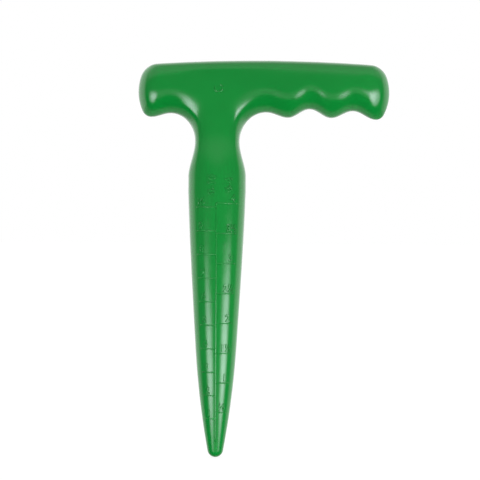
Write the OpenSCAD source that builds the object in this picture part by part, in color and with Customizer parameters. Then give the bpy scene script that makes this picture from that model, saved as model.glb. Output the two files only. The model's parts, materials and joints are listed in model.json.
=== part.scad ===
// Garden dibber with a T-shaped finger grip, moulded as two hollow half shells that meet on y = 0.
// Millimetres. The origin is the lowest point of the tip, +Z runs up the shaft,
// +X points along the long arm of the grip and -Y to the front, which carries the depth scale.

/* [Shaft] */
// Radius of the rounded tip
tip_r = 3.4; // [2.6:0.1:4]
// Height of the sharpened part above the tip
point_len = 47.5; // [36:0.5:60]
// Diameter at the top of the sharpened part
point_d = 17.7; // [15:0.1:19]
// Length at the tip that is solid
solid_len = 24; // [18:0.5:34]
// Height where the straight collar starts
collar_z = 113.8; // [105:0.1:125]
// Length of the straight collar
collar_len = 6.5; // [4:0.1:12]
// Diameter of the collar
collar_d = 24.7; // [21:0.1:27]
// Length of the shoulder between the collar and the neck
shoulder_len = 15; // [11:0.1:20]
// Width of the neck at its waist
neck_w = 19.1; // [16.5:0.1:20.5]
// Depth of the neck from front to back
neck_depth = 20.9; // [19:0.1:23]

/* [Grip bar] */
// Rise of the bar's underside above the waist of the neck
arch_h = 10.6; // [9:0.1:16]
// Height of the bar from its underside to the top of its crown
bar_h = 24; // [22:0.1:27]
// Depth of the bar from front to back
bar_depth = 21.8; // [20:0.1:24]
// Reach of the long arm from the shaft axis
long_arm = 73.7; // [62:0.1:95]
// Reach of the short arm from the shaft axis
short_arm = 34; // [32:0.1:45]
// Radius of the arched crown
crown_r = 670; // [450:10:1200]
// Drop from the top of the crown to the widest place of the end faces
bulge_drop = 13.3; // [12.5:0.1:15]
// Radius of the bulging end faces
end_r = 19.7; // [17:0.1:26]
// Radius of the corners between the end faces and the crown
corner_r = 8; // [5:0.1:9]
// Width of the rolled edge round the bar
edge_roll = 5.3; // [4.5:0.1:7]
// Width of the rolled edge in the arches beside the neck
arch_roll = 10; // [8:0.1:12]
// Width of the wider roll along the underside
under_roll = 11.5; // [8:0.1:12]
// Share of its depth that the bar loses towards its ends
end_drop = 0.4; // [0:0.05:0.6]
// How boxy the rolled edges of the neck and the crown are, where 2 is an ellipse
boxy = 3; // [2:0.1:4]
// Drop from the top of the crown to the level where the bar has its full depth
full_drop = 10; // [9:0.1:11]

/* [Finger grip] */
// Distance of the first finger groove from the shaft axis
groove_x = 21; // [18:0.1:25]
// Distance between finger grooves
groove_pitch = 18.6; // [16:0.1:22]
// Depth of each finger groove, from the shaft outwards
groove_depths = [2.2, 3.7, 3.0]; // [0.5:0.1:4]
// Radius of the nub that ends the long arm
long_nub_r = 3.7; // [3:0.1:5]
// Drop of that nub below the finger crests
long_nub_drop = 0.6; // [0:0.1:2]
// Distance of the thumb hollow from the shaft axis
thumb_x = 20.1; // [17:0.1:21]
// Depth of the thumb hollow
thumb_depth = 1.6; // [0.5:0.1:4]
// Radius of the nub that ends the short arm
short_nub_r = 4.2; // [3:0.1:5]

/* [Shells and seam] */
// Wall thickness
wall = 2.4; // [1.8:0.1:3]
// Width of the tongue along the seam of the front shell
tongue_w = 0.8; // [0.5:0.1:1.2]
// Height of the tongue
tongue_h = 1; // [0.6:0.1:1.6]
// Diameter of the locating pegs
peg_d = 4; // [3:0.1:5]
// Length of the pegs beyond the seam
peg_len = 4; // [2:0.1:5]
// Wall of the bosses that carry the pegs and sockets
boss_wall = 2; // [1.2:0.1:2.4]
// Distance of the outer pegs from the ends of the bar
peg_inset = 17; // [14:0.5:22]
// Clearance round tongue and pegs
fit_gap = 0.12; // [0.05:0.01:0.3]
// Thickness of the half discs that stiffen the shaft
disc_t = 1.8; // [1.2:0.1:3]
// Number of stiffening discs between the pegs of the shaft
disc_count = 2; // [1:1:4]

/* [Depth scale] */
// Height of the zero of the scale above the tip
scale_zero = 7; // [5:0.1:12]
// Number of centimetre marks, on the short-arm side
cm_count = 10; // [4:1:10]
// Number of half-inch marks, on the long-arm side
inch_count = 8; // [4:1:8]
// Angle that each mark spans round the shaft
mark_span = 44; // [20:1:50]
// Width of the marks and of the line between them
mark_w = 0.7; // [0.4:0.1:1.2]
// Height of the marks above the surface
mark_h = 0.15; // [0.1:0.05:0.4]

/* [Hidden] */
$fn = 96;
green = [0.12, 0.53, 0.23];

// Heights and radii that follow from the sizes above
neck_r = neck_w / 2;
collar_r = collar_d / 2;
collar_top = collar_z + collar_len;
neck_z = collar_top + shoulder_len;
slim_share = 4 / 3;
slim_z = collar_top + slim_share * shoulder_len;
crest_z = neck_z + arch_h;
top_z = crest_z + bar_h;
spine_z = top_z - full_drop;
end_z = top_z - bulge_drop;
crown_x = (long_arm - short_arm) / 2;

// The shaft's profile bows out: slopes at its three stations, as multiples of the mean slope beside them
tip_bow = 1.5;
middle_bow = 1.17;
collar_bow = 0.6;
point_r = point_d / 2;
taper_slope = (collar_r - point_r) / (collar_z - point_len);
tip_slope = tip_bow * (point_r - tip_r) / (point_len - tip_r);
point_slope = middle_bow * taper_slope;
collar_slope = collar_bow * taper_slope;
tip_angle = atan(tip_slope);
tip_end_z = tip_r * (1 - sin(tip_angle));
tip_end_r = tip_r * cos(tip_angle);

// The grip's skin enters the top of the collar with a fine step on both sides of the wall
seam_step = 0.05;
lap = 3;
lap_lift = 2;
lap_z = collar_top - lap;
lap_r = collar_r - 2 * seam_step;
skin = wall - 2 * seam_step;
stem_r = neck_r - seam_step;

// How finely the grip's skin and the shaft's profile are divided
arch_n = 6;
wave_step = 1.75;
arc_n = 5;
row_n = 7;
tip_n = 6;
taper_n = 10;
shoulder_n = 9;

// How far features are rooted in the wall, and how far a boss bites into it
root = wall / 2;
boss_bite = 0.4;
boss_d = peg_d + 2 * fit_gap + 2 * boss_wall;

// Units of the depth scale
centimetre = 10;
half_inch = 12.7;

function mix(a, b, t) = a + (b - a) * t;
function ease(t) = t <= 0 ? 0 : t >= 1 ? 1 : t * t * (3 - 2 * t);
function sway(a, b, t) = mix(a, b, (1 - cos(180 * t)) / 2);
function towards(p, q, d) = p + d * (q - p) / norm(q - p);
function reversed(list) = [for (i = [len(list) - 1:-1:0]) list[i]];
function polar(centre, r, angle) = centre + r * [cos(angle), sin(angle)];
function bearing(p, q) = atan2(q[1] - p[1], q[0] - p[0]);
function arc(centre, r, from, to, n) = [for (i = [0:n]) polar(centre, r, mix(from, to, i / n))];

// Upper crossing of two circles
function crossing(p, p_r, q, q_r) =
    let (d = norm(q - p), along = (p_r ^ 2 - q_r ^ 2 + d ^ 2) / (2 * d))
    polar(p, p_r, bearing(p, q) - acos(along / p_r));

// Radius of the shaft at a height: ball tip, two bowed tapers, collar and shoulder
function bowed(z, z0, r0, m0, z1, r1, m1) =
    let (h = z1 - z0, t = (z - z0) / h)
    r0 * (1 + 2 * t) * (1 - t) ^ 2 + m0 * h * t * (1 - t) ^ 2
    + r1 * t * t * (3 - 2 * t) + m1 * h * t * t * (t - 1);
function shaft_r(z) =
    z < tip_end_z ? sqrt(max(0, tip_r ^ 2 - (tip_r - z) ^ 2)) :
    z < point_len ? bowed(z, tip_end_z, tip_end_r, tip_slope, point_len, point_r, point_slope) :
    z < collar_z ? bowed(z, point_len, point_r, point_slope, collar_z, collar_r, collar_slope) :
    z < collar_top ? collar_r :
    mix(collar_r, neck_r, ease((z - collar_top) / shoulder_len));

// Heights at which the profile is drawn, and those strictly between two heights
outer_steps = concat([for (i = [0:tip_n]) tip_end_z * (1 - cos(90 * i / tip_n))],
                     [for (i = [1:taper_n]) mix(tip_end_z, point_len, i / taper_n)],
                     [for (i = [1:taper_n]) mix(point_len, collar_z, i / taper_n)],
                     [collar_top]);
least_step = 1;
function steps_between(low, high) =
    concat([low], [for (z = outer_steps) if (z > low + least_step && z < high - least_step) z], [high]);

// Outline of the grip bar. Each side is described with x measured outwards from the shaft axis.
function crown_z(x) = top_z - crown_r + sqrt(crown_r ^ 2 - (x - crown_x) ^ 2);
function nub_z(long) = long ? crest_z - long_nub_drop : crest_z;
function nub_r(long) = long ? long_nub_r : short_nub_r;
function reach(long) = long ? long_arm : short_arm;
function sign_of(long) = long ? 1 : -1;
function bulge_centre(long) = [reach(long) - end_r, end_z];
function crown_centre(long) = [sign_of(long) * crown_x, top_z - crown_r];
function nub_x(long) =
    reach(long) - end_r + sqrt((end_r - nub_r(long)) ^ 2 - (nub_z(long) + nub_r(long) - end_z) ^ 2);
function nub_centre(long) = [nub_x(long), nub_z(long) + nub_r(long)];
function corner_centre(long) =
    crossing(crown_centre(long), crown_r - corner_r, bulge_centre(long), end_r - corner_r);

// The underside waves between hollows and crests; the last stretch runs down to the end nub
least_run = 0.4;
groove_count = max(1, floor((nub_x(true) - groove_x) / groove_pitch - least_run) + 1);
function groove_depth(i) = groove_depths[min(i, len(groove_depths) - 1)];
function first_hollow(long) = long ? groove_x : thumb_x;
function last_hollow(long) = long ? groove_x + (groove_count - 1) * groove_pitch : thumb_x;
function hollow_z(long, i) = crest_z + (long ? groove_depth(i) : thumb_depth);
function wave_z(x) =
    let (i = floor((x - groove_x) / groove_pitch), t = (x - groove_x) / groove_pitch - i)
    t < 0.5 ? sway(hollow_z(true, i), crest_z, 2 * t) : sway(crest_z, hollow_z(true, i + 1), 2 * t - 1);
function under_z(long, x) =
    x < last_hollow(long) ? wave_z(x) :
    sway(hollow_z(long, long ? groove_count - 1 : 0), nub_z(long),
         (x - last_hollow(long)) / (nub_x(long) - last_hollow(long)));
function under_point(long, x) = [x, under_z(long, x)];
function crown_point(long, x) = [x, crown_z(sign_of(long) * x)];
function arch(long, t) =
    let (x = first_hollow(long), z = hollow_z(long, 0))
    [x - (x - stem_r) * cos(90 * t), neck_z + (z - neck_z) * sin(90 * t)];

// The spine is the T on which the rolled edges meet: up shoulder and neck, then out along both arms
spine_inset = 10;
function spine_end(long) = reach(long) - spine_inset;
function wave_n(long) = max(2, ceil((spine_end(long) - first_hollow(long)) / wave_step));
function arm_n(long) = arch_n + wave_n(long);
function arm_x(long, i) =
    i <= arch_n ? first_hollow(long) * i / arch_n :
    mix(first_hollow(long), spine_end(long), (i - arch_n) / wave_n(long));
shoulder_points = [for (i = [0:shoulder_n]) [0, mix(collar_top, neck_z, i / shoulder_n)]];
stem_points = [for (i = [1:arch_n]) [0, mix(neck_z, spine_z, i / arch_n)]];
long_points = [for (i = [1:arm_n(true)]) [arm_x(true, i), spine_z]];
short_points = [for (i = [1:arm_n(false)]) [-arm_x(false, i), spine_z]];
spine = concat([[0, lap_z]], shoulder_points, stem_points, long_points, short_points);
neck_id = 1 + shoulder_n;
corner_id = neck_id + arch_n;
function arm_id(long, i) = i == 0 ? corner_id : corner_id + i + (long ? 0 : arm_n(true));

// Ribs run from the outline to the spine. Each is
// [outline point, number of its spine point, width of the edge's roll, fullness of the roll].
plain = 2;
turn_start = 0.4;
turn_len = 0.4;
function flip(long, p) = [sign_of(long) * p[0], p[1]];
function rib(long, p, id, roll, full) = [flip(long, p), id, roll, full];
function shoulder_r(i) = shaft_r(shoulder_points[i][1]) - seam_step;
function end_points(long) =
    let (nub = nub_centre(long), bulge = bulge_centre(long), corner = corner_centre(long),
         low = bearing(bulge, nub), high = bearing(bulge, corner), top = bearing(crown_centre(long), corner),
         start = spine_end(long), stop = polar(corner, corner_r, top)[0])
    concat([for (i = [1:arc_n - 1]) under_point(long, mix(start, nub[0], i / arc_n))],
           arc(nub, nub_r(long), -90, low, arc_n),
           [for (i = [1:arc_n - 1]) polar(bulge, end_r, mix(low, high, i / arc_n))],
           arc(corner, corner_r, high, top, arc_n),
           [for (i = [1:arc_n - 1]) crown_point(long, mix(stop, start, i / arc_n))]);
function side_ribs(long) =
    let (ends = end_points(long), last = arm_n(long))
    concat([rib(long, [lap_r, lap_z], 0, lap_r, plain)],
           [for (i = [0:shoulder_n]) let (r = shoulder_r(i))
               rib(long, [r, shoulder_points[i][1]], 1 + i, r, mix(plain, boxy, ease(i / shoulder_n)))],
           [for (i = [1:arch_n])
               rib(long, arch(long, i / arch_n / 2), neck_id + i, mix(stem_r, arch_roll, i / arch_n), boxy)],
           [for (i = [1:arch_n]) let (t = ease(i / arch_n))
               rib(long, arch(long, (1 + i / arch_n) / 2), arm_id(long, i),
                   mix(arch_roll, under_roll, t), mix(boxy, plain, t))],
           [for (i = [arch_n + 1:last])
               rib(long, under_point(long, arm_x(long, i)), arm_id(long, i), edge_roll, plain)],
           [for (i = [0:len(ends) - 1]) let (t = ease((i / len(ends) - turn_start) / turn_len))
               rib(long, ends[i], arm_id(long, last), edge_roll, mix(plain, boxy, t))],
           [for (i = [last:-1:1])
               rib(long, crown_point(long, arm_x(long, i)), arm_id(long, i), edge_roll, boxy)]);
crown_middle = rib(true, [0, crown_z(0)], corner_id, edge_roll, boxy);
ribs = concat(side_ribs(true), [crown_middle], reversed(side_ribs(false)));
rib_n = len(ribs);

// Share of the full depth at a distance from a rolled edge
function rolled(s, roll, full) = s >= roll ? 1 : (1 - (1 - s / roll) ^ full) ^ (1 / full);

// Half depth of the grip at a place: collar, shoulder and neck, then the bar, which the wide rolls
// of its underside and its ends thin towards the edge
end_dome = 11;
least_gap = 0.01;
function stem_depth(z) =
    z < slim_z ? mix(collar_r - seam_step, neck_depth / 2, ease((z - collar_top) / (slim_z - collar_top))) :
    mix(neck_depth / 2, bar_depth / 2, ease((z - slim_z) / (spine_z - slim_z)));
function end_share(long, x, z) =
    let (rise = min(abs(z - end_z), end_r / 2), gap = reach(long) - end_r + sqrt(end_r ^ 2 - rise ^ 2) - x)
    1 - end_drop * max(0, 1 - gap / end_dome) ^ 2;
function under_share(long, x, z) =
    x < first_hollow(long) + least_gap ? 1 :
    let (above = max(least_gap, z - under_z(long, min(x, nub_x(long)))))
    rolled(above, under_roll, plain) / rolled(above, edge_roll, plain);
function half_depth(x, z) =
    z < neck_z ? stem_depth(z) :
    stem_depth(z) * end_share(x > 0, abs(x), z) * under_share(x > 0, abs(x), z);

// Points of the skin along one rib and along the spine, at an inset from the outside
function rib_points(r, inset) =
    let (q = spine[r[1]], p = towards(r[0], q, inset), long = norm(q - p),
         roll = min(r[2] - inset, long), lift = r[1] == 0 ? lap_lift : 0)
    [for (j = [0:row_n - 1])
        let (s = long * (1 - cos(mix(lift, 90, j / row_n))), at = towards(p, q, s))
        [at[0], -(half_depth(at[0], at[1]) - inset) * rolled(s, roll, r[3]), at[1]]];
function spine_skin(inset) = [for (q = spine) [q[0], -(half_depth(q[0], q[1]) - inset), q[1]]];
function skin_points(inset) = concat(spine_skin(inset), [for (r = ribs) each rib_points(r, inset)]);

// Faces of the skin between neighbouring ribs; base is where that skin's points start
function at_rib(base, k, j) = base + (j == row_n ? ribs[k][1] : len(spine) + k * row_n + j);
function two(a, b, c, d) = c == d ? [[a, c, b]] : [[a, c, b], [a, d, c]];
function skin_faces(base) =
    [for (k = [0:rib_n - 2], j = [0:row_n - 1])
        each two(at_rib(base, k, j), at_rib(base, k + 1, j),
                 at_rib(base, k + 1, j + 1), at_rib(base, k, j + 1))];
function turned(faces) = [for (f = faces) reversed(f)];

module grip_skin() {
    outside = skin_points(0);
    inside = skin_points(skin);
    n = len(outside);
    rim = [for (k = [0:rib_n - 2])
        each two(at_rib(0, k + 1, 0), at_rib(0, k, 0), at_rib(n, k, 0), at_rib(n, k + 1, 0))];
    first_end = [for (j = [0:row_n - 1])
        each two(at_rib(0, 0, j), at_rib(0, 0, j + 1), at_rib(n, 0, j + 1), at_rib(n, 0, j))];
    last_end = [for (j = [0:row_n - 1])
        each two(at_rib(0, rib_n - 1, j + 1), at_rib(0, rib_n - 1, j),
                 at_rib(n, rib_n - 1, j), at_rib(n, rib_n - 1, j + 1))];
    polyhedron(concat(outside, inside),
               concat(skin_faces(0), turned(skin_faces(n)), rim, first_end, last_end));
}

// Front half of a revolved profile
module front_turn() {
    rotate([0, 0, 180]) rotate_extrude(angle = 180) children();
}

module shaft_skin() {
    hollow = reversed(steps_between(solid_len, collar_top));
    front_turn() polygon(concat([for (z = outer_steps) [shaft_r(z), z]],
                                [for (z = hollow) [shaft_r(z) - wall, z]],
                                [[0, solid_len]]));
}

module stiffening_discs() {
    for (i = [1:disc_count]) {
        z = mix(point_len, collar_z, i / (disc_count + 1));
        r = min(shaft_r(z), shaft_r(z + disc_t)) - root;
        front_turn() polygon([[0, z], [r, z], [r, z + disc_t], [0, z + disc_t]]);
    }
}

// Peg stations as [x, z, half depth of the outside there]: two in the bar, one in the collar
// and one half-way along the last step of the sharpened part
low_peg_z = mix(tip_end_z, point_len, 1 - 0.5 / taper_n);
peg_stations = [[long_arm - peg_inset, spine_z, half_depth(long_arm - peg_inset, spine_z)],
                [-(short_arm - peg_inset), spine_z, half_depth(peg_inset - short_arm, spine_z)],
                [0, collar_z + collar_len / 2, collar_r],
                [0, low_peg_z, shaft_r(low_peg_z)]];

module bosses() {
    for (p = peg_stations)
        translate([p[0], 0, p[1]]) rotate([90, 0, 0]) cylinder(d = boss_d, h = p[2] - wall + boss_bite);
}

module half_shell() {
    grip_skin();
    shaft_skin();
    stiffening_discs();
    bosses();
}

// Outline of the whole seam at an inset from the outside
function seam_loop(inset) =
    let (side = [for (z = steps_between(tip_r + inset, lap_z)) [shaft_r(z) - inset, z]])
    concat(side,
           [for (r = ribs) if (r[1] > 0) towards(r[0], spine[r[1]], inset)],
           reversed([for (p = side) [-p[0], p[1]]]));
module seam_band(width, depth) {
    rotate([90, 0, 0]) linear_extrude(depth) difference() {
        polygon(seam_loop((wall - width) / 2));
        polygon(seam_loop((wall + width) / 2));
    }
}

module tongue() {
    translate([0, tongue_h, 0]) seam_band(tongue_w, tongue_h + root);
}

module groove() {
    translate([0, tongue_h + fit_gap, 0]) seam_band(tongue_w + 2 * fit_gap, tongue_h + fit_gap + root);
}

module pegs(d, length) {
    for (p = peg_stations)
        translate([p[0], length, p[1]]) rotate([90, 0, 0]) cylinder(d = d, h = length + root);
}

// Raised marks: one ring sector for each, and the upright line between the two rows
module mark(z, from) {
    r = shaft_r(z);
    rotate([0, 0, from]) rotate_extrude(angle = mark_span)
        polygon([[r - root, z - mark_w / 2], [r + mark_h, z - mark_w / 2 + mark_h / 2],
                 [r + mark_h, z + mark_w / 2 - mark_h / 2], [r - root, z + mark_w / 2]]);
}

module depth_scale() {
    front = 270;
    for (i = [1:cm_count]) mark(scale_zero + i * centimetre, front - mark_span);
    for (i = [1:inch_count]) mark(scale_zero + i * half_inch, front);
    steps = steps_between(scale_zero, scale_zero + max(cm_count * centimetre, inch_count * half_inch));
    rotate([0, 0, -90]) rotate([90, 0, 0]) linear_extrude(mark_w, center = true)
        polygon(concat([for (z = steps) [shaft_r(z) + mark_h, z]],
                       [for (z = reversed(steps)) [shaft_r(z) - root, z]]));
}

// Front half with the depth scale, the tongue and the pegs
module front_shell() {
    color(green) union() {
        half_shell();
        depth_scale();
        tongue();
        pegs(peg_d, peg_len);
    }
}

// Back half with the groove and the peg sockets
module back_shell() {
    color(green) difference() {
        mirror([0, 1, 0]) half_shell();
        groove();
        pegs(peg_d + 2 * fit_gap, peg_len + fit_gap);
    }
}

front_shell();
back_shell();
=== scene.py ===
"""Looks of the garden dibber: two glossy green half shells with a moulded depth scale."""

import json
import math
from collections import namedtuple

import bmesh
import bpy
from mathutils import Matrix, Vector, noise


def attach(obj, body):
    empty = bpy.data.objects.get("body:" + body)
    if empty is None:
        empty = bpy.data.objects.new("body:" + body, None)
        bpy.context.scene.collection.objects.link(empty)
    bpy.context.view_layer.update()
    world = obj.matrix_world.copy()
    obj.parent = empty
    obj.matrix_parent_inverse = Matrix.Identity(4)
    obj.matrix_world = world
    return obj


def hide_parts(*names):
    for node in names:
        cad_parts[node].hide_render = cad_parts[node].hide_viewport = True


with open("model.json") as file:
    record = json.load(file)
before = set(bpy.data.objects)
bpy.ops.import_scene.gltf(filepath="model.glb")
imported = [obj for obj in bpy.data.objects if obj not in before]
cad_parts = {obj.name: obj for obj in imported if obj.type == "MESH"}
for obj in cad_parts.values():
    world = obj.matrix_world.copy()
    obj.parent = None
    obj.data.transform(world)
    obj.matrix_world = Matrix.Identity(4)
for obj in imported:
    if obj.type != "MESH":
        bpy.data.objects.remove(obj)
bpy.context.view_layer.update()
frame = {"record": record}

MM = 0.001

# Smallest length in millimetres that is told from none, and in metres that keeps points apart
LEAST_GAP = 0.01
MERGE_GAP = 1e-6

# The collar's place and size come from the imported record
mounts = {mount["name"]: mount for mount in frame["record"]["mounts"]}
collar = mounts["collar"]

# Sizes of the shaft in millimetres, as in the part's source
TIP_R = 3.4
POINT_LEN = 47.5
POINT_R = 8.85
COLLAR_R = collar["dims"]["r_mm"]
COLLAR_LEN = collar["dims"]["length_mm"]
COLLAR_Z = collar["pos_m"][2] / MM - COLLAR_LEN / 2
COLLAR_TOP = COLLAR_Z + COLLAR_LEN
SHOULDER_LEN = 15
NECK_R = 9.55
NECK_Z = COLLAR_TOP + SHOULDER_LEN
NECK_HALF_DEPTH = 10.45
SLIM_LEN = 20
SLIM_Z = COLLAR_TOP + SLIM_LEN

# Slopes of the bowed tapers at the tip, the point and the collar, as shares of a straight taper's
TIP_BOW = 1.5
POINT_BOW = 1.17
COLLAR_BOW = 0.6

# Sizes of the grip bar
ARCH_H = 10.6
CREST_Z = NECK_Z + ARCH_H
BAR_H = 24
TOP_Z = CREST_Z + BAR_H
BAR_HALF_DEPTH = 10.9
LONG_ARM = 73.7
SHORT_ARM = 34
CROWN_R = 670
CROWN_X = (LONG_ARM - SHORT_ARM) / 2
BULGE_DROP = 13.3
END_Z = TOP_Z - BULGE_DROP
END_R = 19.7
CORNER_R = 8

# The skin's ribs run from the outline to a spine, which stays inside the top and the ends by this much
SPINE_INSET = 10
SPINE_Z = TOP_Z - SPINE_INSET

# Cross-sections: width of the rolled edge, how boxy it is (2 is an ellipse), and the share of its depth
# by which the face domes down towards the edge, over DOME_W
Section = namedtuple("Section", "roll fullness dome")
EDGE_ROLL = 5.3
UNDER_ROLL = 11.5
ROUND = 2
BOXY = 3
DOME_W = 13
STEM = Section(NECK_R, BOXY, 0)
LONG_ARCH = Section(5.8, ROUND, 0.37)
SHORT_ARCH = Section(4.5, ROUND, 0.37)
UNDER = Section(UNDER_ROLL, ROUND, 0)
WAVE = Section(EDGE_ROLL, ROUND, 0)
CROWN = Section(EDGE_ROLL, BOXY, 0)
CROWN_END = Section(10, 3.5, 0)

# Distance from the shaft's axis at which the crown starts to turn into its softer roll at the ends
CROWN_TURN = 8

# How the front and back of an arm drop towards its end and sag towards its underside: shares of the
# depth, the lengths over which they grow, and that over which the last hollow turns into the end
End = namedtuple("End", "drop dome sag sag_w turn")
LONG_END = End(0.4, 9.5, 0.6, 26, 13)
SHORT_END = End(0.4, 9, 0.35, 19, 12)

# Where, along the outline of an arm's end, the section starts to turn into that of the crown, and over
# how much of it, both as shares
TURN_START = 0.4
TURN_LEN = 0.4

# Sizes of the finger grooves, the thumb hollow and the nubs that end the arms
GROOVE_X = 21
GROOVE_PITCH = 18.6
GROOVE_DEPTHS = (2.2, 3.7, 3.0)
THUMB_X = 20.1
THUMB_DEPTH = 1.6
LONG_NUB_R = 3.7
LONG_NUB_DROP = 0.6
SHORT_NUB_R = 4.2

# Shell wall, and the fine groove that shows where the two shells meet, with the shape of its lip as
# shares of its depth and half width
WALL = 2.4
SEAM_DEPTH = 0.14
SEAM_HALF_W = 0.16
SEAM_LIP = ((1, 0), (0.125, 0.8), (0, 1.5))

# Moulded skin is never quite even: greatest height of its waves, and their length
SKIN_WAVE_H = 0.025
SKIN_WAVE_LEN = 11

# Depth scale; its labels stand at angles round the shaft that widen from its foot to its top
SCALE_ZERO = 7
CENTIMETRE = 10
HALF_INCH = 12.7
CM_COUNT = 10
INCH_LABELS = ("½", "1", "1½", "2", "2½", "3", "3½", "4")
MARK_SPAN = math.radians(45)
MARK_W = 0.6
MARK_H = 0.2
LABEL_SIZE = 4.1
LABEL_H = 0.36
LABEL_BEVEL = 0.14
LABEL_RISE = 0.9
LABEL_ANGLE_LOW = math.radians(27)
LABEL_ANGLE_HIGH = math.radians(35)
RANGE_SIZE = 4.6
RANGE_Z = 116.5
RANGE_LABELS = ((-0.6, "0-10"), (6.9, "0-4"))

# Ring left by the moulding gate, open at its upper left
GATE = (0.6, 157.3)
GATE_R = 1.6
GATE_TURN = (math.radians(-200), math.radians(70))
GATE_W = 0.7
GATE_H = 0.22

# Green of the plastic where it is deep and pale, its gloss, the scales of its patterns, and the part of
# each pattern over which the green and the gloss change
DEEP_GREEN = (0.004, 0.236, 0.032, 1)
PALE_GREEN = (0.005, 0.260, 0.036, 1)
PLASTIC_IOR = 1.5
LEAST_ROUGH, MOST_ROUGH = 0.13, 0.19
TINT_SCALE = 45
TINT_RANGE = (0.3, 0.7)
GLOSS_SCALE = 160
GLOSS_RANGE = (0.35, 0.65)
GRAIN_SCALE = 900
GRAIN_STRENGTH = 0.1
GRAIN_H = 0.1

# Softboxes: distance and aim, and where they are dark and at full light, as shares of their size from
# the centre out and from the foot up
LAMP_DISTANCE = 520
LAMP_AIM_Z = 60
LAMP_COLOUR = (0.95, 1, 1.05)
LAMP_CENTRE = (0.5, 0.5, 0)
LAMP_RIM = 0.5
LAMP_CORE = 0.08
LAMP_DARK = 0.765
LAMP_FULL = 0.535

# Light of the surroundings by direction. Each is a product of slopes: axis, start, stop, and the light
# at both. Where several meet, the brightest counts.
SURROUNDINGS = {
    "behind": (("Y", 0, 0.38, 0, 1.25), ("Z", -0.65, -0.15, 0.4, 1)),
    "above": (("Z", 0.05, 0.5, 0, 0.85), ("Y", 0.8, 0.1, 0.25, 1)),
    "front": (("Z", -0.4, -0.1, 0, 0.18),),
    "low front": (("Z", -0.1, -0.4, 0, 1), ("Z", -0.72, -0.6, 0, 1), ("Y", -0.4, -0.7, 0, 0.6)),
}
WHITE = (1, 1, 1, 1)

# Floor, whose own light keeps it white and whose matt share takes the shadow
FLOOR_HALF_SIZE = 30
FLOOR_COLOUR = (0.9, 0.9, 0.9, 1)
FLOOR_GLOW = 1.1
FLOOR_GLOW_SHARE = 0.8

# Camera, level and square to the front, and the width that it sees at the shaft's axis; the object
# leans a little to the right in the picture
CAMERA = (10.02, -613, 93.23)
CAMERA_LEAN = math.radians(0.394)
VIEW_WIDTH = 206.2
SENSOR = 36
CLIP_START = 0.01

# How finely the pieces are divided
ROWS = 28
BALL_STEPS = 24
SHAFT_STEP = 0.5
ARCH_STEPS = 28
UNDER_STEP = 0.5
ARC_STEPS = 14
LINE_STEP = 1
TICK_STEP = 0.5
GATE_STEPS = 40
RIDGE_SIDES = 8

# How deep the raised marks and numerals are set into the skin
RIDGE_SINK = 0.06
LABEL_SINK = 0.03


def mix(a, b, t):
    return a + (b - a) * t


def ease(t):
    t = min(max(t, 0), 1)
    return t * t * (3 - 2 * t)


def sway(a, b, t):
    return mix(a, b, (1 - math.cos(math.pi * t)) / 2)


def spread(a, b, step):
    """Evenly spaced values from just past a up to b."""
    count = math.ceil((b - a) / step)
    return [mix(a, b, i / count) for i in range(1, count + 1)]


def polar(centre, r, angle):
    return Vector((centre[0] + r * math.cos(angle), centre[1] + r * math.sin(angle)))


def bearing(p, q):
    return math.atan2(q[1] - p[1], q[0] - p[0])


# Shaft: ball tip, two bowed tapers, collar and shoulder
TAPER_SLOPE = (COLLAR_R - POINT_R) / (COLLAR_Z - POINT_LEN)
TIP_SLOPE = TIP_BOW * (POINT_R - TIP_R) / (POINT_LEN - TIP_R)
POINT_SLOPE = POINT_BOW * TAPER_SLOPE
COLLAR_SLOPE = COLLAR_BOW * TAPER_SLOPE
BALL_TURN = math.pi / 2 - math.atan(TIP_SLOPE)
TIP_END_Z = TIP_R * (1 - math.cos(BALL_TURN))
TIP_END_R = TIP_R * math.sin(BALL_TURN)


def bowed(z, z0, r0, m0, z1, r1, m1):
    """Radius on a curve that leaves (z0, r0) with slope m0 and reaches (z1, r1) with slope m1."""
    h = z1 - z0
    t = (z - z0) / h
    return (r0 * (1 + 2 * t) * (1 - t) ** 2 + m0 * h * t * (1 - t) ** 2
            + r1 * t * t * (3 - 2 * t) + m1 * h * t * t * (t - 1))


def shaft_radius(z):
    if z < TIP_END_Z:
        return math.sqrt(max(0, TIP_R ** 2 - (TIP_R - z) ** 2))
    if z < POINT_LEN:
        return bowed(z, TIP_END_Z, TIP_END_R, TIP_SLOPE, POINT_LEN, POINT_R, POINT_SLOPE)
    if z < COLLAR_Z:
        return bowed(z, POINT_LEN, POINT_R, POINT_SLOPE, COLLAR_Z, COLLAR_R, COLLAR_SLOPE)
    return mix(COLLAR_R, NECK_R, ease((z - COLLAR_TOP) / (NECK_Z - COLLAR_TOP)))


def half_depth(z):
    """Half the depth of the object from front to back, where its edges aren't rolled."""
    if z < COLLAR_TOP:
        return shaft_radius(z)
    if z < SLIM_Z:
        return mix(COLLAR_R, NECK_HALF_DEPTH, ease((z - COLLAR_TOP) / (SLIM_Z - COLLAR_TOP)))
    return mix(NECK_HALF_DEPTH, BAR_HALF_DEPTH, ease((z - SLIM_Z) / (SPINE_Z - SLIM_Z)))


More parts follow.
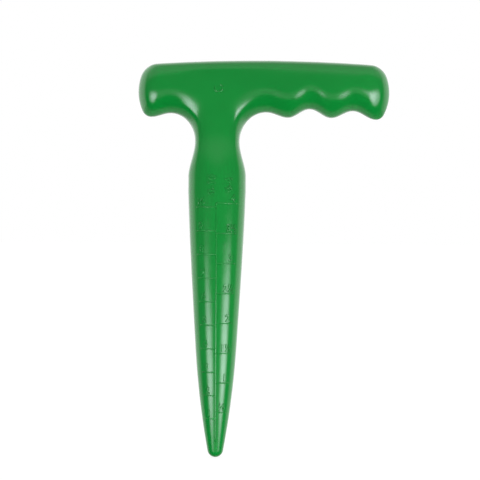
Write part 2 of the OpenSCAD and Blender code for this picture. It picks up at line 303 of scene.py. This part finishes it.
class Arm:
    """One arm of the grip, with x measured outwards from the shaft's axis."""

    def __init__(self, sign, reach, hollows, nub_r, nub_z, arch, end):
        self.sign = sign
        self.reach = reach
        self.hollows = hollows
        self.nub_r = nub_r
        self.nub_z = nub_z
        self.arch = arch
        self.end = end
        self.bulge = Vector((reach - END_R, END_Z))
        self.crown = Vector((sign * CROWN_X, TOP_Z - CROWN_R))
        rise = nub_z + nub_r - END_Z
        self.nub = Vector((reach - END_R + math.sqrt((END_R - nub_r) ** 2 - rise ** 2), nub_z + nub_r))
        self.corner = self.corner_centre()
        self.spine_end = reach - SPINE_INSET

    def corner_centre(self):
        """Centre of the corner that runs smoothly into the end face and into the crown."""
        d = (self.bulge - self.crown).length
        far, near = CROWN_R - CORNER_R, END_R - CORNER_R
        along = (far ** 2 - near ** 2 + d ** 2) / (2 * d)
        return polar(self.crown, far, bearing(self.crown, self.bulge) - math.acos(along / far))

    def crown_point(self, x):
        return Vector((x, self.crown[1] + math.sqrt(CROWN_R ** 2 - (x - self.crown[0]) ** 2)))

    def under_point(self, x):
        """Point of the underside, which waves between hollows and crests and ends at the nub."""
        for (x0, z0), (x1, z1) in zip(self.hollows, self.hollows[1:]):
            if x < x1:
                t = 2 * (x - x0) / (x1 - x0)
                return Vector((x, sway(z0, CREST_Z, t) if t < 1 else sway(CREST_Z, z1, t - 1)))
        x0, z0 = self.hollows[-1]
        return Vector((x, sway(z0, self.nub_z, (x - x0) / (self.nub[0] - x0))))

    def arch_point(self, t):
        """Point of the fillet from the neck to the first hollow."""
        x, z = self.hollows[0]
        angle = t * math.pi / 2
        return Vector((x - (x - NECK_R) * math.cos(angle), NECK_Z + (z - NECK_Z) * math.sin(angle)))

    def end_points(self):
        """Outline round the end of the arm, from the underside to the crown."""
        low = bearing(self.bulge, self.nub)
        high = bearing(self.bulge, self.corner)
        top = bearing(self.crown, self.corner)
        stop = polar(self.corner, CORNER_R, top)[0]
        steps = [i / ARC_STEPS for i in range(1, ARC_STEPS)]
        closed = [0] + steps + [1]
        return ([self.under_point(mix(self.spine_end, self.nub[0], t)) for t in steps]
                + [polar(self.nub, self.nub_r, mix(-math.pi / 2, low, t)) for t in closed]
                + [polar(self.bulge, END_R, mix(low, high, t)) for t in steps]
                + [polar(self.corner, CORNER_R, mix(high, top, t)) for t in closed]
                + [self.crown_point(mix(stop, self.spine_end, t)) for t in steps])

    def ribs(self):
        """Ribs up the neck and round the arm.

        Each has its outline point, its spine point, two sections and the share of the second.
        """
        first = self.hollows[0][0]
        steps = [i / ARCH_STEPS for i in range(1, ARCH_STEPS + 1)]
        xs = spread(first, self.spine_end, UNDER_STEP)
        ribs = []
        for t in steps:
            stem = Vector((0, mix(NECK_Z, SPINE_Z, t)))
            ribs.append((self.arch_point(t / 2), stem, STEM, self.arch, ease(t)))
        for t in steps:
            inner = Vector((first * t, SPINE_Z))
            ribs.append((self.arch_point((1 + t) / 2), inner, self.arch, UNDER, ease(t)))
        for x in xs:
            ribs.append((self.under_point(x), Vector((x, SPINE_Z)), WAVE, WAVE, 0))
        ends = self.end_points()
        for i, p in enumerate(ends):
            turn = ease((i / len(ends) - TURN_START) / TURN_LEN)
            ribs.append((p, Vector((self.spine_end, SPINE_Z)), WAVE, CROWN_END, turn))
        for x in reversed([first * t for t in steps] + xs):
            turn = max(0, (x - CROWN_TURN) / (self.spine_end - CROWN_TURN))
            ribs.append((self.crown_point(x), Vector((x, SPINE_Z)), CROWN, CROWN_END, turn))
        return [(self.placed(p), self.placed(q), *section) for p, q, *section in ribs]

    def share(self, x, z):
        """Share of its depth that the bar keeps where its underside and its end roll in widely."""
        rise = min(abs(z - END_Z), END_R / 2)
        gap = self.bulge[0] + math.sqrt(END_R ** 2 - rise ** 2) - x
        share = 1 - self.end.drop * max(0, 1 - gap / self.end.dome) ** 2
        if x > self.hollows[0][0] + LEAST_GAP:
            above = max(z - self.under_point(min(x, self.nub[0]))[1], LEAST_GAP)
            under = rolled(above, UNDER_ROLL, ROUND) / rolled(above, EDGE_ROLL, ROUND)
            end = 1 - self.end.sag * max(0, 1 - above / self.end.sag_w) ** 2
            share *= mix(under, end, ease((x - self.hollows[-1][0]) / self.end.turn))
        return share

    def placed(self, p):
        return Vector((self.sign * p[0], p[1]))


GROOVES = [(GROOVE_X + i * GROOVE_PITCH, CREST_Z + depth) for i, depth in enumerate(GROOVE_DEPTHS)]
LONG = Arm(1, LONG_ARM, GROOVES, LONG_NUB_R, CREST_Z - LONG_NUB_DROP, LONG_ARCH, LONG_END)
THUMB = [(THUMB_X, CREST_Z + THUMB_DEPTH)]
SHORT = Arm(-1, SHORT_ARM, THUMB, SHORT_NUB_R, CREST_Z, SHORT_ARCH, SHORT_END)


def shaft_ribs(sign):
    """Ribs of one side of the shaft, from the tip to the neck."""
    heights = [TIP_R * (1 - math.cos(BALL_TURN * i / BALL_STEPS)) for i in range(BALL_STEPS + 1)]
    heights += spread(TIP_END_Z, NECK_Z, SHAFT_STEP)
    ribs = []
    for z in heights:
        r = shaft_radius(z)
        fullness = mix(ROUND, BOXY, ease((z - COLLAR_TOP) / (NECK_Z - COLLAR_TOP)))
        section = Section(r, fullness, 0)
        ribs.append((Vector((sign * r, z)), Vector((0, z)), section, section, 0))
    return ribs


def skin_ribs():
    """All ribs, from the tip up the right side, over the grip and down the left side."""
    top = (LONG.crown_point(0), Vector((0, SPINE_Z)), CROWN, CROWN, 0)
    return shaft_ribs(1) + LONG.ribs() + [top] + (shaft_ribs(-1) + SHORT.ribs())[::-1]


def rolled(s, roll, fullness):
    """Share of the full depth at a distance from the edge."""
    return 1 if s >= roll else (1 - (1 - s / roll) ** fullness) ** (1 / fullness)


def section_height(section, s, length):
    """Share of the full depth at a distance from the edge, along a rib of some length."""
    wide = max(LEAST_GAP, min(DOME_W, length))
    dome = 1 - section.dome * max(0, 1 - s / wide) ** 2
    return dome * rolled(s, min(section.roll, length), section.fullness)


def rib_points(outline, spine, first, second, blend):
    """Points of the skin along a rib, starting in the seam groove: (x, depth, z)."""
    length = (spine - outline).length
    inward = (spine - outline).normalized()
    rows = []
    for j in range(1, ROWS + 1):
        s = length * (1 - math.cos(math.pi / 2 * j / ROWS))
        x, z = outline + inward * s
        height = mix(section_height(first, s, length), section_height(second, s, length), blend)
        if z > NECK_Z:
            height *= (LONG if x > 0 else SHORT).share(abs(x), z)
        rows.append((x, half_depth(z) * height, z))
    open_w = min(SEAM_HALF_W, rows[0][1] / 2)
    deep = SEAM_DEPTH * open_w / SEAM_HALF_W
    lips = []
    for inset, out in SEAM_LIP:
        x, z = outline + inward * (deep * inset)
        lips.append((x, open_w * out, z))
    return lips + rows


def new_object(name, bm, material):
    bm.normal_update()
    mesh = bpy.data.meshes.new(name)
    bm.to_mesh(mesh)
    bm.free()
    mesh.materials.append(material)
    mesh.polygons.foreach_set("use_smooth", [True] * len(mesh.polygons))
    obj = bpy.data.objects.new(name, mesh)
    bpy.context.scene.collection.objects.link(obj)
    return obj


def moulded(name, bm, material):
    """An object of the part itself: one of its plastic pieces, fixed to its only body."""
    obj = new_object(name, bm, material)
    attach(obj, "root")
    return obj


def skin_mesh(side):
    """Outside of one half; side is -1 for the front and 1 for the back."""
    bm = bmesh.new()
    grid = []
    for rib in skin_ribs():
        grid.append([bm.verts.new((x * MM, side * y * MM, z * MM)) for x, y, z in rib_points(*rib)])
    for a, b in zip(grid, grid[1:]):
        for j in range(len(a) - 1):
            bm.faces.new((a[j], b[j], b[j + 1], a[j + 1]))
    bmesh.ops.remove_doubles(bm, verts=bm.verts, dist=MERGE_GAP)
    bmesh.ops.recalc_face_normals(bm, faces=bm.faces)
    if sum(f.normal.y * f.calc_area() for f in bm.faces) * side < 0:
        bmesh.ops.reverse_faces(bm, faces=bm.faces)
    return bm


def add_waves(bm):
    """Lift and sink the skin by hundredths of a millimetre, as plastic does when it cools."""
    bm.normal_update()
    for v in bm.verts:
        v.co += v.normal * (noise.noise(v.co / (SKIN_WAVE_LEN * MM)) * SKIN_WAVE_H * MM)


def half_shell(name, node, side, material):
    """One half with its wall, which thins towards the tip so that it never crosses itself."""
    bm = skin_mesh(side)
    add_waves(bm)
    obj = moulded(name, bm, material)
    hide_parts(node)
    thickness = obj.vertex_groups.new(name="thickness")
    for v in obj.data.vertices:
        thickness.add([v.index], min(1, shaft_radius(v.co.z / MM) / WALL / 2), "REPLACE")
    wall = obj.modifiers.new("wall", "SOLIDIFY")
    wall.thickness = WALL * MM
    wall.offset = -1
    wall.vertex_group = thickness.name


def on_shaft(u, z, lift):
    """Point at arc length u round the shaft from its front line, at a height and lifted off it."""
    r = shaft_radius(z)
    angle = u / r
    return Vector(((r + lift) * math.sin(angle), -(r + lift) * math.cos(angle), z)) * MM


def on_face(u, z, lift):
    """Point on the flat front of the grip."""
    return Vector((u, -(half_depth(z) + lift), z)) * MM


def ridge(bm, place, path, width, height):
    """Rounded rib that follows a path of (u, z) points on a surface."""
    rings = []
    for i, p in enumerate(path):
        before, after = path[max(i - 1, 0)], path[min(i + 1, len(path) - 1)]
        along = (Vector(after) - Vector(before)).normalized()
        ring = []
        for k in range(RIDGE_SIDES + 1):
            angle = math.pi * k / RIDGE_SIDES
            off = math.cos(angle) * width / 2
            lift = mix(-RIDGE_SINK, height, math.sin(angle))
            ring.append(bm.verts.new(place(p[0] - along[1] * off, p[1] + along[0] * off, lift)))
        rings.append(ring)
    for a, b in zip(rings, rings[1:]):
        for k in range(RIDGE_SIDES):
            bm.faces.new((a[k], b[k], b[k + 1], a[k + 1]))
    bm.faces.new(rings[0])
    bm.faces.new(rings[-1][::-1])


def numerals(bm, place, text, size, u, z, turned=False):
    """Raised characters on a surface, centred on u with their feet at z, or turned to read upwards."""
    curve = bpy.data.curves.new("numerals", "FONT")
    curve.body = text
    curve.size = size
    curve.align_x = "CENTER"
    curve.extrude = LABEL_H / 2 - LABEL_BEVEL
    curve.bevel_depth = LABEL_BEVEL
    curve.bevel_resolution = 2
    carrier = bpy.data.objects.new("numerals", curve)
    mesh = bpy.data.meshes.new_from_object(carrier)
    verts = []
    for v in mesh.vertices:
        x, y, lift = v.co
        if turned:
            x, y = -y, x
        verts.append(bm.verts.new(place(u + x, z + y, lift + LABEL_H / 2 - LABEL_SINK)))
    for f in mesh.polygons:
        bm.faces.new([verts[i] for i in f.vertices])
    bpy.data.objects.remove(carrier)
    bpy.data.curves.remove(curve)
    bpy.data.meshes.remove(mesh)


def depth_scale(material):
    bm = bmesh.new()
    top = SCALE_ZERO + len(INCH_LABELS) * HALF_INCH
    line = [(0, z) for z in [SCALE_ZERO] + spread(SCALE_ZERO, top, LINE_STEP)]
    ridge(bm, on_shaft, line, MARK_W, MARK_H)
    rows = [(-1, SCALE_ZERO + i * CENTIMETRE, str(i)) for i in range(1, CM_COUNT + 1)]
    rows += [(1, SCALE_ZERO + (i + 1) * HALF_INCH, label) for i, label in enumerate(INCH_LABELS)]
    for sign, z, label in rows:
        r = shaft_radius(z)
        tick = [(sign * u, z) for u in [0] + spread(0, MARK_SPAN * r, TICK_STEP)]
        ridge(bm, on_shaft, tick, MARK_W, MARK_H)
        angle = mix(LABEL_ANGLE_LOW, LABEL_ANGLE_HIGH, z / top)
        numerals(bm, on_shaft, label, LABEL_SIZE, sign * angle * r, z + LABEL_RISE)
    for u, label in RANGE_LABELS:
        numerals(bm, on_shaft, label, RANGE_SIZE, u, RANGE_Z, turned=True)
    bmesh.ops.recalc_face_normals(bm, faces=bm.faces)
    moulded("depth_scale", bm, material)


def gate_mark(material):
    bm = bmesh.new()
    arc = [polar(GATE, GATE_R, mix(*GATE_TURN, i / GATE_STEPS)) for i in range(GATE_STEPS + 1)]
    ridge(bm, on_face, arc, GATE_W, GATE_H)
    bmesh.ops.recalc_face_normals(bm, faces=bm.faces)
    moulded("gate_mark", bm, material)


def map_range(tree, source, low, high, least, most):
    """Node that eases a value between two ends."""
    node = tree.nodes.new("ShaderNodeMapRange")
    node.interpolation_type = "SMOOTHSTEP"
    node.inputs["From Min"].default_value = low
    node.inputs["From Max"].default_value = high
    node.inputs["To Min"].default_value = least
    node.inputs["To Max"].default_value = most
    tree.links.new(source, node.inputs["Value"])
    return node.outputs["Result"]


def join(tree, operation, a, b):
    """Node that combines two values."""
    node = tree.nodes.new("ShaderNodeMath")
    node.operation = operation
    tree.links.new(a, node.inputs[0])
    tree.links.new(b, node.inputs[1])
    return node.outputs["Value"]


def join_all(tree, operation, values):
    """Chain of nodes that combines several values."""
    total, *rest = values
    for value in rest:
        total = join(tree, operation, total, value)
    return total


def green_plastic():
    """Glossy plastic whose green, gloss and surface vary a little."""
    material = bpy.data.materials.new("green_plastic")
    material.use_nodes = True
    tree = material.node_tree
    nodes, links = tree.nodes, tree.links
    shader = nodes["Principled BSDF"]
    shader.inputs["IOR"].default_value = PLASTIC_IOR
    coords = nodes.new("ShaderNodeTexCoord")

    def clouds(scale, detail):
        node = nodes.new("ShaderNodeTexNoise")
        node.inputs["Scale"].default_value = scale
        node.inputs["Detail"].default_value = detail
        links.new(coords.outputs["Object"], node.inputs["Vector"])
        return node.outputs["Fac"]

    tint = nodes.new("ShaderNodeValToRGB")
    deep, pale = tint.color_ramp.elements
    deep.position, pale.position = TINT_RANGE
    deep.color, pale.color = DEEP_GREEN, PALE_GREEN
    links.new(clouds(TINT_SCALE, detail=3), tint.inputs["Fac"])
    links.new(tint.outputs["Color"], shader.inputs["Base Color"])
    gloss = map_range(tree, clouds(GLOSS_SCALE, detail=4), *GLOSS_RANGE, LEAST_ROUGH, MOST_ROUGH)
    links.new(gloss, shader.inputs["Roughness"])

    grain = nodes.new("ShaderNodeBump")
    grain.inputs["Strength"].default_value = GRAIN_STRENGTH
    grain.inputs["Distance"].default_value = GRAIN_H * MM
    links.new(clouds(GRAIN_SCALE, detail=2), grain.inputs["Height"])
    links.new(grain.outputs["Normal"], shader.inputs["Normal"])
    return material


def softbox(name, azimuth, elevation, lean, half_width, half_height, radiance):
    """Oval lamp that faces the shaft and fades upwards; angles in degrees as seen from the shaft."""
    distance = LAMP_DISTANCE * MM
    aim = Vector((0, 0, LAMP_AIM_Z * MM))
    az, el = math.radians(azimuth), math.radians(elevation)
    towards = Vector((math.sin(az) * math.cos(el), -math.cos(az) * math.cos(el), math.sin(el)))
    lamp = bpy.data.lights.new(name, "AREA")
    lamp.shape = "ELLIPSE"
    lamp.color = LAMP_COLOUR
    lamp.size = 2 * distance * math.tan(math.radians(half_width))
    lamp.size_y = 2 * distance * math.tan(math.radians(half_height))
    lamp.energy = radiance * math.pi * math.pi / 4 * lamp.size * lamp.size_y
    lamp.use_nodes = True
    tree = lamp.node_tree
    surface = tree.nodes.new("ShaderNodeNewGeometry")
    off_centre = tree.nodes.new("ShaderNodeVectorMath")
    off_centre.operation = "DISTANCE"
    off_centre.inputs[1].default_value = LAMP_CENTRE
    tree.links.new(surface.outputs["Parametric"], off_centre.inputs[0])
    sides = tree.nodes.new("ShaderNodeSeparateXYZ")
    tree.links.new(surface.outputs["Parametric"], sides.inputs["Vector"])
    rim = map_range(tree, off_centre.outputs["Value"], LAMP_RIM, LAMP_CORE, 0, 1)
    upper = map_range(tree, sides.outputs["Y"], LAMP_DARK, LAMP_FULL, 0, 1)
    tree.links.new(join(tree, "MULTIPLY", rim, upper), tree.nodes["Emission"].inputs["Strength"])
    obj = bpy.data.objects.new(name, lamp)
    facing = towards.to_track_quat("Z", "Y").to_matrix().to_4x4()
    turn = Matrix.Rotation(math.radians(lean), 4, "Z")
    obj.matrix_world = Matrix.Translation(aim + towards * distance) @ facing @ turn
    obj.visible_camera = False
    bpy.context.scene.collection.objects.link(obj)


def studio():
    """Surroundings that light the object by direction, and that the camera itself sees as white."""
    world = bpy.data.worlds.new("studio")
    bpy.context.scene.world = world
    world.use_nodes = True
    tree = world.node_tree
    nodes, links = tree.nodes, tree.links
    nodes.clear()
    coords = nodes.new("ShaderNodeTexCoord")
    axes = nodes.new("ShaderNodeSeparateXYZ")
    links.new(coords.outputs["Generated"], axes.inputs["Vector"])
    lights = []
    for slopes in SURROUNDINGS.values():
        ramps = [map_range(tree, axes.outputs[axis], *ends) for axis, *ends in slopes]
        lights.append(join_all(tree, "MULTIPLY", ramps))
    around = nodes.new("ShaderNodeBackground")
    around.inputs["Color"].default_value = WHITE
    links.new(join_all(tree, "MAXIMUM", lights), around.inputs["Strength"])
    white = nodes.new("ShaderNodeBackground")
    white.inputs["Color"].default_value = WHITE
    path = nodes.new("ShaderNodeLightPath")
    blend = nodes.new("ShaderNodeMixShader")
    links.new(path.outputs["Is Camera Ray"], blend.inputs["Fac"])
    links.new(around.outputs["Background"], blend.inputs[1])
    links.new(white.outputs["Background"], blend.inputs[2])
    out = nodes.new("ShaderNodeOutputWorld")
    links.new(blend.outputs["Shader"], out.inputs["Surface"])


def pale_floor():
    """White floor that takes the object's shadow; the lamps shine through it from below its level."""
    bm = bmesh.new()
    bmesh.ops.create_grid(bm, x_segments=1, y_segments=1, size=FLOOR_HALF_SIZE)
    material = bpy.data.materials.new("pale_floor")
    material.use_nodes = True
    nodes = material.node_tree.nodes
    links = material.node_tree.links
    nodes.clear()
    matt = nodes.new("ShaderNodeBsdfDiffuse")
    matt.inputs["Color"].default_value = FLOOR_COLOUR
    glow = nodes.new("ShaderNodeEmission")
    glow.inputs["Strength"].default_value = FLOOR_GLOW
    blend = nodes.new("ShaderNodeMixShader")
    blend.inputs["Fac"].default_value = FLOOR_GLOW_SHARE
    links.new(matt.outputs["BSDF"], blend.inputs[1])
    links.new(glow.outputs["Emission"], blend.inputs[2])
    out = nodes.new("ShaderNodeOutputMaterial")
    links.new(blend.outputs["Shader"], out.inputs["Surface"])
    floor = new_object("floor", bm, material)
    floor.visible_diffuse = False
    floor.visible_glossy = False
    floor.visible_shadow = False


def camera():
    data = bpy.data.cameras.new("camera")
    data.sensor_width = SENSOR
    data.lens = SENSOR * -CAMERA[1] / VIEW_WIDTH
    data.clip_start = CLIP_START
    obj = bpy.data.objects.new("camera", data)
    obj.location = Vector(CAMERA) * MM
    obj.rotation_euler = (math.pi / 2, -CAMERA_LEAN, 0)
    bpy.context.scene.collection.objects.link(obj)
    bpy.context.scene.camera = obj


plastic = green_plastic()
half_shell("front_shell_skin", "front_shell", -1, plastic)
half_shell("back_shell_skin", "back_shell", 1, plastic)
depth_scale(plastic)
gate_mark(plastic)
softbox("right_softbox", azimuth=47, elevation=-13.5, lean=10,
        half_width=27, half_height=24, radiance=9.8)
softbox("left_softbox", azimuth=-35, elevation=-15.5, lean=-15,
        half_width=26, half_height=23, radiance=8.2)
studio()
pale_floor()
camera()
bpy.context.scene.view_settings.view_transform = "Standard"
